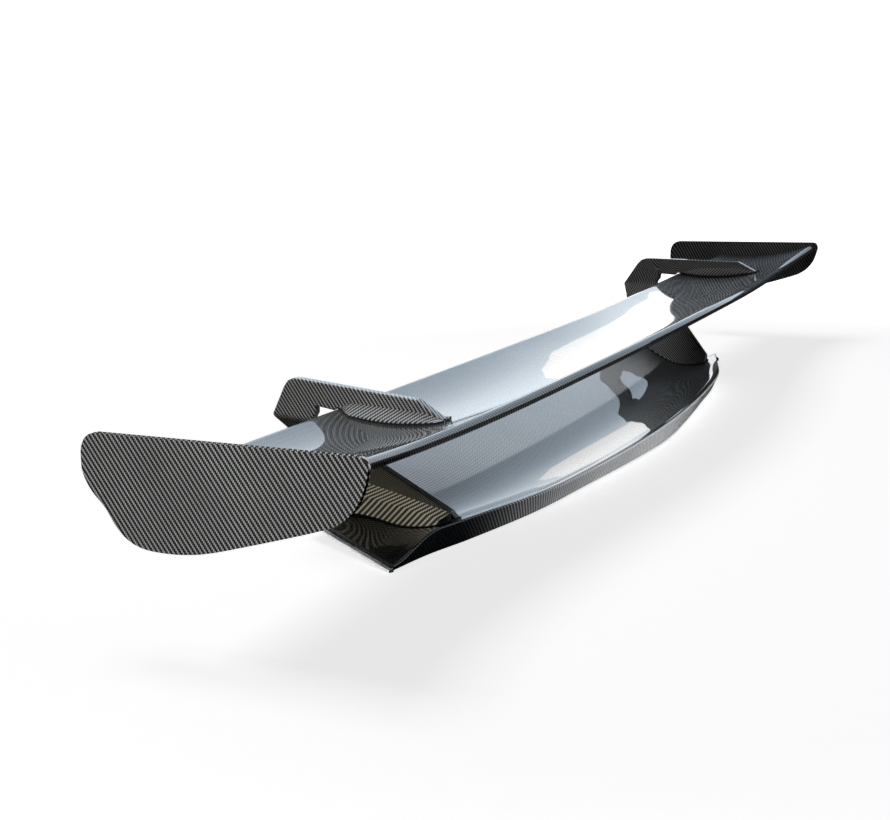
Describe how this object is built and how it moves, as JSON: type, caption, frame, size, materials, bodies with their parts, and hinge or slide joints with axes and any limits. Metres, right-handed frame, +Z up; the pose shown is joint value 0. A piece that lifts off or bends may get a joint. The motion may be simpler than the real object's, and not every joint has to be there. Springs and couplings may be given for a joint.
{
  "type": "rear wing",
  "caption": "Bowed carbon rear wing with end plates, held over a curved boot-lid base by two swan-neck mounts that hook over its leading edge.",
  "frame": {"origin": "bottom centre of the whole assembly, on the underside of the base's adhesive tape and rubber seals", "axes": "+X to the vehicle's right along the span, +Y forward, +Z up"},
  "size_m": [1.4, 0.2545, 0.1508],
  "materials": {
    "carbon_gloss": "gloss clear coat over 2x2 twill carbon fibre",
    "carbon_matt": "matt moulded carbon, inside face",
    "aluminium": "machined",
    "adhesive": "cured black adhesive",
    "steel": "stainless",
    "gasket_rubber": "matt",
    "core_plastic": "cast tooling resin",
    "brass": "turned",
    "seal_rubber": "light grey, matt",
    "tape": "foam tape"
  },
  "bodies": {
    "root": {"wing_upper_skin": "carbon_gloss", "wing_lower_skin": "carbon_gloss", "base_upper_skin": "carbon_gloss", "base_lower_pan": "carbon_matt", "left_end_plate": "carbon_gloss", "left_neck_outer_shell": "carbon_gloss", "left_neck_inner_shell": "carbon_gloss", "left_neck_core": "aluminium", "left_end_rib": "carbon_matt", "left_end_plate_bond": "adhesive", "left_end_plate_dowels": "steel", "left_wing_hardpoint": "aluminium", "left_wing_gasket": "gasket_rubber", "left_base_gasket": "gasket_rubber", "left_wing_screws": "steel", "left_neck_bolts": "steel", "left_neck_bolt_washers": "steel", "left_base_block": "core_plastic", "left_lid_inserts": "brass", "left_edge_seal": "seal_rubber", "right_end_plate": "carbon_gloss", "right_neck_outer_shell": "carbon_gloss", "right_neck_inner_shell": "carbon_gloss", "right_neck_core": "aluminium", "right_end_rib": "carbon_matt", "right_end_plate_bond": "adhesive", "right_end_plate_dowels": "steel", "right_wing_hardpoint": "aluminium", "right_wing_gasket": "gasket_rubber", "right_base_gasket": "gasket_rubber", "right_wing_screws": "steel", "right_neck_bolts": "steel", "right_neck_bolt_washers": "steel", "right_base_block": "core_plastic", "right_lid_inserts": "brass", "right_edge_seal": "seal_rubber", "wing_main_spar": "carbon_matt", "wing_rear_spar": "carbon_matt", "centre_base_block": "core_plastic", "centre_lid_inserts": "brass", "base_stiffeners": "carbon_matt", "base_tape_strips": "tape"}
  },
  "joints": []
}
